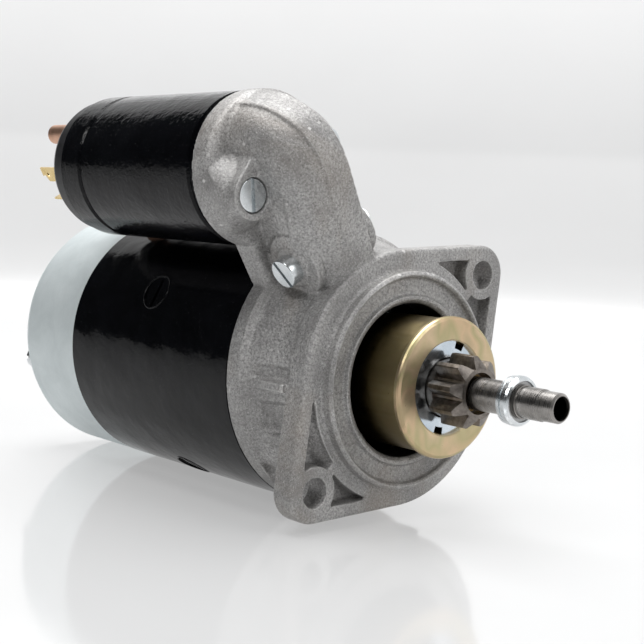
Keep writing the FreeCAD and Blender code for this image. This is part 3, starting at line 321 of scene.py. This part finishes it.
def laminations():
    """Edges of stacked electrical sheet."""
    stack = Finish("laminations", Metallic=0.9)
    sheets = stack.rings(pitch=0.0007, waver=0.004)
    stack.colour(stack.ramp(sheets, [(0.35, (0.10, 0.095, 0.09)), (0.65, (0.30, 0.29, 0.28))]))
    stack.roughness(stack.spread(sheets, 0.3, 0.7, 0.4, 0.6))
    return stack.bump(sheets, strength=0.4, distance=0.0003).material


FINISHES = {
    "cast": cast_aluminium(),
    "black": gloss_black("gloss_black", wrinkle=0.25),
    "wrinkled": gloss_black("wrinkled_black", wrinkle=1.0),
    "cap": zinc("zinc_cap", (0.62, 0.68, 0.69), (0.72, 0.78, 0.79), rough=0.45, metallic=0.35),
    "zinc": zinc("bright_zinc", (0.66, 0.70, 0.72), (0.82, 0.84, 0.85), rough=0.22),
    "yellow": yellow_zinc("yellow_zinc", dim=0.0),
    "olive": yellow_zinc("yellow_zinc_shell", dim=0.42),
    "blue_steel": plain_metal("blued_washer", (0.40, 0.47, 0.54), (0.74, 0.80, 0.85), rough=0.15,
                              grain=45.0),
    "shaft": ground_shaft(),
    "pinion": plain_metal("pinion_steel", (0.11, 0.097, 0.086), (0.30, 0.27, 0.245), rough=0.36,
                          grain=420.0),
    "steel": plain_metal("plain_steel", (0.30, 0.30, 0.30), (0.48, 0.48, 0.48), rough=0.38),
    "copper": plain_metal("copper", (0.52, 0.30, 0.20), (0.72, 0.46, 0.33), rough=0.42),
    "brass": plain_metal("brass", (0.70, 0.52, 0.22), (0.86, 0.68, 0.36), rough=0.30),
    "bronze": plain_metal("sintered_bronze", (0.36, 0.25, 0.12), (0.52, 0.38, 0.20), rough=0.5,
                          grain=900.0),
    "plastic": moulded("moulded_black", (0.008, 0.008, 0.009), (0.022, 0.022, 0.024), rough=0.36,
                       grain=520.0),
    "rubber": moulded("black_rubber", (0.012, 0.012, 0.012), (0.03, 0.03, 0.03), rough=0.7, grain=700.0),
    "carbon": moulded("carbon", (0.02, 0.02, 0.02), (0.06, 0.055, 0.05), rough=0.5, grain=800.0),
    "winding": winding(),
    "core": laminations(),
}

LOOKS = {
    "cast": "drive_end_housing drive_end_hump",
    "black": "yoke_frame pole_shoe_screws",
    "wrinkled": "solenoid_can",
    "cap": "end_cap",
    "zinc": "shaft_dust_cap through_bolts brush_plate brush_holders solenoid_screws lever_pivot_bolt "
            "lever_pivot_nut terminal_nuts stop_washer stop_collar shift_lever fork_ring",
    "yellow": "clutch_front_washer",
    "olive": "clutch_shell",
    "blue_steel": "clutch_tab_washer",
    "shaft": "armature_shaft",
    "pinion": "pinion_gear",
    "steel": "brush_springs meshing_spring clutch_rollers clutch_roller_springs driver_sleeve snap_ring "
             "solenoid_core solenoid_plunger plunger_link_pin plunger_return_spring contact_rod",
    "copper": "battery_terminal_stud motor_terminal_stud contact_disc field_lead_strap commutator",
    "brass": "spade_terminals motor_stud_washer solenoid_guide_tube",
    "bronze": "end_cap_bushing pinion_bushing",
    "plastic": "solenoid_end_cap",
    "rubber": "field_lead_grommet lever_seal_block",
    "carbon": "brushes",
    "winding": "field_coils solenoid_coil armature_windings",
    "core": "armature_core pole_shoes",
}


def dress(piece, finish):
    """Give every slot of a piece one finish."""
    if not piece.data.materials:
        piece.data.materials.append(FINISHES[finish])
    for index in range(len(piece.data.materials)):
        piece.data.materials[index] = FINISHES[finish]


for finish, names in LOOKS.items():
    for name in names.split():
        dress(NODES[name], finish)


# ---------------------------------------------------------------- rims of paint round the pole screws

YOKE_LOW, YOKE_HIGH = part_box("yoke_frame")
YOKE_RADIUS = (YOKE_HIGH.z - YOKE_LOW.z) / 2
POLE_COUNT = 4
FIRST_POLE = math.radians(151.3)    # from Y towards Z
RIM_RADIUS = 0.0072
BEAD_RADIUS = 0.00035
BEAD_SUNK = 0.3                     # share of the bead's radius that its middle lies under the yoke's skin
RIM_STEPS, BEAD_SIDES = 64, 8


def paint_rim(name, angle):
    """Raised rim of thick paint round one pole screw, laid on the curve of the yoke."""
    low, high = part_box("pole_shoe_screws")
    middle = (low.x + high.x) / 2
    mesh = bpy.data.meshes.new(name)
    work = bmesh.new()
    rings = []
    for step in range(RIM_STEPS):
        turn = 2 * math.pi * step / RIM_STEPS
        ring = []
        for side in range(BEAD_SIDES):
            section = 2 * math.pi * side / BEAD_SIDES
            reach = RIM_RADIUS + BEAD_RADIUS * math.cos(section)
            out = YOKE_RADIUS - BEAD_SUNK * BEAD_RADIUS + BEAD_RADIUS * math.sin(section)
            around = angle + reach * math.sin(turn) / YOKE_RADIUS
            ring.append(work.verts.new((
                middle + reach * math.cos(turn), out * math.cos(around), out * math.sin(around),
            )))
        rings.append(ring)
    for step, ring in enumerate(rings):
        following = rings[(step + 1) % RIM_STEPS]
        for side in range(BEAD_SIDES):
            beside = (side + 1) % BEAD_SIDES
            face = work.faces.new((ring[side], ring[beside], following[beside], following[side]))
            face.smooth = True
    bmesh.ops.recalc_face_normals(work, faces=work.faces)
    work.to_mesh(mesh)
    work.free()
    mesh.materials.append(FINISHES["black"])
    rim = bpy.data.objects.new(name, mesh)
    bpy.context.scene.collection.objects.link(rim)
    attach(rim, BODY_OF["pole_shoe_screws"])


for pole in range(POLE_COUNT):
    paint_rim("pole_paint_rim_%d" % (pole + 1), FIRST_POLE + pole * math.pi / 2)


# ---------------------------------------------------------------- casting with soft corners

CASTING = ("drive_end_housing", "drive_end_hump")
VOXEL = 0.00045
RELAX_ROUNDS = 9
RELAX_STEP = 0.5                    # how far a free point goes towards the middle of its neighbours

SEAM = YOKE_HIGH.x                  # the casting meets the yoke here
SEAM_KEPT, SEAM_FADE = 0.0006, 0.0015   # kept sharp this far from the seam, and fully free a fade later
LEAN = math.radians(30)             # of the solenoid and the hump, from Z towards -Y
HUMP_FOOT, HUMP_FADE = 0.049, 0.008     # distance from the shaft axis in that direction
MOUTH_RIM, MOUTH_BACK, MOUTH_TOP = 0.0415, -0.006, 0.05     # radius, X, and distance in that direction
FRONT_FACES = 0.0004                # what stands in front of this is machined

EAR_ANGLE = math.radians(47)        # from Z towards Y
FLANGE = next(mount for mount in frame["record"]["mounts"] if mount["name"] == "flange_bolts")
HOLE_CIRCLE = FLANGE["dims"]["pcd_mm"] / 2000
HOLE_KEPT, HOLE_FADE = 0.0062, 0.0015

# How far a place may relax, as a share of a free one.
WALL_FREE, HOLE_FREE, FACE_FREE = 0.35, 0.15, 0.12

# Core pockets on the outside of the bell: x from and to, degrees from Y towards Z from and to, depth.
BELL_POCKETS = [
    (-0.0270, -0.0085, 173.0, 180.8, 0.0019),
    (-0.0255, -0.0105, 189.0, 202.0, 0.0019),
    (-0.0270, -0.0120, 250.0, 262.0, 0.0014),
    (-0.0270, -0.0120, 300.0, 312.0, 0.0014),
]
POCKET_EDGE, POCKET_EDGE_DEGREES = 0.0022, 1.9
BELL_SKIN = (0.0466, 0.0506)        # the radii between which the bell's outer skin lies


def voxel_skin(names):
    """One closed skin over several nodes."""
    work = bmesh.new()
    for name in names:
        work.from_mesh(NODES[name].data)
    rough = bpy.data.meshes.new("casting_parts")
    work.to_mesh(rough)
    work.free()
    holder = bpy.data.objects.new("casting_parts", rough)
    bpy.context.scene.collection.objects.link(holder)
    remesh = holder.modifiers.new("skin", "REMESH")
    remesh.mode = "VOXEL"
    remesh.voxel_size = VOXEL
    remesh.adaptivity = 0.0
    graph = bpy.context.evaluated_depsgraph_get()
    skin = bpy.data.meshes.new_from_object(holder.evaluated_get(graph))
    bpy.data.objects.remove(holder)
    return skin


def read_points(mesh):
    """A mesh's points as rows of x, y and z."""
    points = np.empty(len(mesh.vertices) * 3)
    mesh.vertices.foreach_get("co", points)
    return points.reshape(-1, 3)


def write_points(mesh, points):
    """Put rows of x, y and z back."""
    mesh.vertices.foreach_set("co", points.ravel())


def fade(value, width, least=0.0):
    """Grows from a least share at 0 to 1 at a width."""
    return np.clip(value / width, least, 1)


def softness(points):
    """Each point's freedom to relax: not at the seam, little at faces and holes, most on the hump."""
    x, y, z = points.T
    height = z * math.cos(LEAN) - y * math.sin(LEAN)
    free = fade(height - HUMP_FOOT, HUMP_FADE, WALL_FREE)
    free[x > FRONT_FACES] *= FACE_FREE
    seam = fade(x - SEAM - SEAM_KEPT, SEAM_FADE)
    hole = np.ones_like(x)
    for side in (1, -1):
        centre = side * HOLE_CIRCLE * np.array((math.sin(EAR_ANGLE), math.cos(EAR_ANGLE)))
        distance = np.hypot(y - centre[0], z - centre[1])
        hole = np.minimum(hole, fade(distance - HOLE_KEPT, HOLE_FADE, HOLE_FREE))
    in_mouth = (np.hypot(y, z) < MOUTH_RIM) & (x > MOUTH_BACK) & (height < MOUTH_TOP)
    return free * seam * hole * np.where(in_mouth, FACE_FREE, 1.0)


def relax(mesh, rounds):
    """Smooth a dense mesh by its own edges, each point by its softness."""
    points = read_points(mesh)
    count = len(points)
    ends = np.empty(len(mesh.edges) * 2, dtype=np.int32)
    mesh.edges.foreach_get("vertices", ends)
    first, second = ends.reshape(-1, 2).T
    number = np.bincount(first, minlength=count) + np.bincount(second, minlength=count)
    share = (RELAX_STEP * softness(points))[:, None]
    for turn in range(rounds):
        total = np.empty_like(points)
        for axis in range(3):
            total[:, axis] = (np.bincount(first, points[second, axis], count)
                              + np.bincount(second, points[first, axis], count))
        points += share * (total / number[:, None] - points)
    write_points(mesh, points)
    mesh.update()


def band(value, low, high, edge):
    """0 outside two limits, rising over an edge inside each of them to 1 between."""
    return fade(value - low, edge) * fade(high - value, edge)


def press_pockets(mesh):
    """Move the outer skin of the bell in to form its pockets."""
    points = read_points(mesh)
    x, y, z = points.T
    radius = np.hypot(y, z)
    angle = np.degrees(np.arctan2(z, y)) % 360
    sink = np.zeros_like(x)
    for x_low, x_high, angle_low, angle_high, depth in BELL_POCKETS:
        along = band(x, x_low, x_high, POCKET_EDGE)
        sink += depth * along * band(angle, angle_low, angle_high, POCKET_EDGE_DEGREES)
    sink *= (radius > BELL_SKIN[0]) & (radius < BELL_SKIN[1])
    points[:, 1] -= sink * y / radius
    points[:, 2] -= sink * z / radius
    write_points(mesh, points)


def soft_casting():
    """The drive end casting as it leaves the mould, with rounded inner and outer corners."""
    mesh = voxel_skin(CASTING)
    press_pockets(mesh)
    relax(mesh, RELAX_ROUNDS)
    mesh.polygons.foreach_set("use_smooth", [True] * len(mesh.polygons))
    mesh.materials.clear()
    mesh.materials.append(FINISHES["cast"])
    mesh.name = "drive_end_casting"
    skin = bpy.data.objects.new("drive_end_casting", mesh)
    bpy.context.scene.collection.objects.link(skin)
    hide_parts(*CASTING)
    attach(skin, BODY_OF[CASTING[0]])


soft_casting()


# ---------------------------------------------------------------- stage, camera and light

FLOOR = min(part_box(name)[0].z for name in NODES)
FLAT_RADIUS, BEND_RADIUS, WALL_HEIGHT = 1.1, 0.7, 2.2
OPEN_FLOOR = 4 * WALL_HEIGHT        # how much further the floor runs where there is no wall
WALL_LEAN = 0.01                    # the wall's top stands this much further out than its foot
WALL_MIDDLE = math.radians(90)      # from X towards Y
WALL_STARTS, WALL_FULL = 0.30, 0.55     # from 0 opposite the wall's middle to 1 at it
BEND_STEPS, FLOOR_TURNS = 16, 96
GLOW_HEIGHTS, GLOW = (0.01, 0.5), (0.36, 0.71)      # above the floor, and how bright there

LENS, SENSOR_WIDTH, LENS_SHIFT = 74.26, 36.0, 0.112     # the first two in millimetres
EYE = Vector((0.3387, -0.3479, 0.0650))
EYE_RIGHT = Vector((0.6266, 0.7783, 0.0403))
EYE_UP = Vector((-0.0994, 0.0286, 0.9946))


def smooth_step(value, low, high):
    """0 below one limit, 1 above the other, smooth between."""
    share = min(1.0, max(0.0, (value - low) / (high - low)))
    return share * share * (3 - 2 * share)


def studio_profile(angle):
    """The floor from its flat middle outwards at one angle, as (radius, height) points."""
    behind = 0.5 + 0.5 * math.cos(angle - WALL_MIDDLE)
    rise = smooth_step(behind, WALL_STARTS, WALL_FULL)
    profile = [(FLAT_RADIUS, 0.0)]
    for index in range(1, BEND_STEPS + 1):
        bent = math.pi / 2 * index / BEND_STEPS
        lift = rise * BEND_RADIUS * (1 - math.cos(bent))
        profile.append((FLAT_RADIUS + BEND_RADIUS * math.sin(bent), lift))
    end = FLAT_RADIUS + BEND_RADIUS + (1 - rise) * OPEN_FLOOR + WALL_LEAN
    profile.append((end, rise * (BEND_RADIUS + WALL_HEIGHT)))
    return profile


def studio_paper():
    """Pale sheet that glows a little, more towards the top of the wall."""
    sweep = Finish("studio_paper", Roughness=0.10, IOR=1.6)
    sweep.colour(sweep.layer((0.34, 0.342, 0.344), (0.36, 0.362, 0.364), sweep.noise(6), 0.3, 0.7))
    sweep.feed((1.0, 1.0, 1.0, 1.0), sweep.shader.inputs["Emission Color"])
    height = sweep.node("ShaderNodeSeparateXYZ", Vector=sweep.place).outputs["Z"]
    low, high = (FLOOR + above for above in GLOW_HEIGHTS)
    sweep.feed(sweep.spread(height, low, high, *GLOW), sweep.shader.inputs["Emission Strength"])
    return sweep.material


def studio():
    """A pale floor that curves up into a wall behind and beside the object."""
    mesh = bpy.data.meshes.new("studio")
    work = bmesh.new()
    rows = []
    for turn in range(FLOOR_TURNS):
        angle = 2 * math.pi * turn / FLOOR_TURNS
        rows.append([
            work.verts.new((radius * math.cos(angle), radius * math.sin(angle), FLOOR + height))
            for radius, height in studio_profile(angle)
        ])
    centre = work.verts.new((0, 0, FLOOR))
    for turn, row in enumerate(rows):
        following = rows[(turn + 1) % FLOOR_TURNS]
        work.faces.new((centre, row[0], following[0]))
        for index in range(len(row) - 1):
            work.faces.new((row[index], row[index + 1], following[index + 1], following[index]))
    for face in work.faces:
        face.smooth = True
    work.to_mesh(mesh)
    work.free()
    stage = bpy.data.objects.new("studio_floor", mesh)
    bpy.context.scene.collection.objects.link(stage)
    mesh.materials.append(studio_paper())


def camera():
    """Low three-quarter view from the pinion end, solenoid side."""
    lens = bpy.data.cameras.new("camera")
    lens.sensor_width = SENSOR_WIDTH
    lens.lens = LENS
    lens.shift_x = LENS_SHIFT
    eye = bpy.data.objects.new("camera", lens)
    turn = Matrix((EYE_RIGHT, EYE_UP, EYE_RIGHT.cross(EYE_UP))).transposed().to_4x4()
    eye.matrix_world = Matrix.Translation(EYE) @ turn
    bpy.context.scene.collection.objects.link(eye)
    bpy.context.scene.camera = eye


def soft_room():
    """Pale to the eye, and a dim room to everything that reflects it."""
    world = bpy.data.worlds.new("soft_room")
    world.use_nodes = True
    nodes, links = world.node_tree.nodes, world.node_tree.links
    seen = nodes["Background"]
    seen.inputs["Color"].default_value = (0.82, 0.825, 0.83, 1.0)
    dim = nodes.new("ShaderNodeBackground")
    dim.inputs["Color"].default_value = (0.9, 0.95, 1.0, 1.0)
    dim.inputs["Strength"].default_value = 0.03
    choose = nodes.new("ShaderNodeMixShader")
    links.new(nodes.new("ShaderNodeLightPath").outputs["Is Camera Ray"], choose.inputs["Fac"])
    links.new(dim.outputs[0], choose.inputs[1])
    links.new(seen.outputs[0], choose.inputs[2])
    links.new(choose.outputs[0], nodes["World Output"].inputs["Surface"])
    bpy.context.scene.world = world


def area_light(name, place, aim, size, power):
    """A rectangular soft light that points at a place: size is its width and height, power is in watts."""
    light = bpy.data.lights.new(name, "AREA")
    light.shape = "RECTANGLE"
    light.size, light.size_y = size
    light.energy = power
    lamp = bpy.data.objects.new(name, light)
    lamp.location = place
    lamp.rotation_euler = (Vector(aim) - Vector(place)).to_track_quat("-Z", "Y").to_euler()
    bpy.context.scene.collection.objects.link(lamp)


studio()
camera()
soft_room()
bpy.context.scene.view_settings.view_transform = "Standard"
area_light("top_softbox", place=(-0.20, -0.05, 1.2), aim=(0, 0, 0), size=(1.2, 0.9), power=20.0)
area_light("window_side", place=(1.1, 0.35, 0.9), aim=(0, 0, 0.02), size=(0.5, 0.5), power=2.2)
area_light("camera_softbox", place=(0.30, -1.0, 0.85), aim=(0, 0, 0.05), size=(0.42, 0.42), power=4.5)
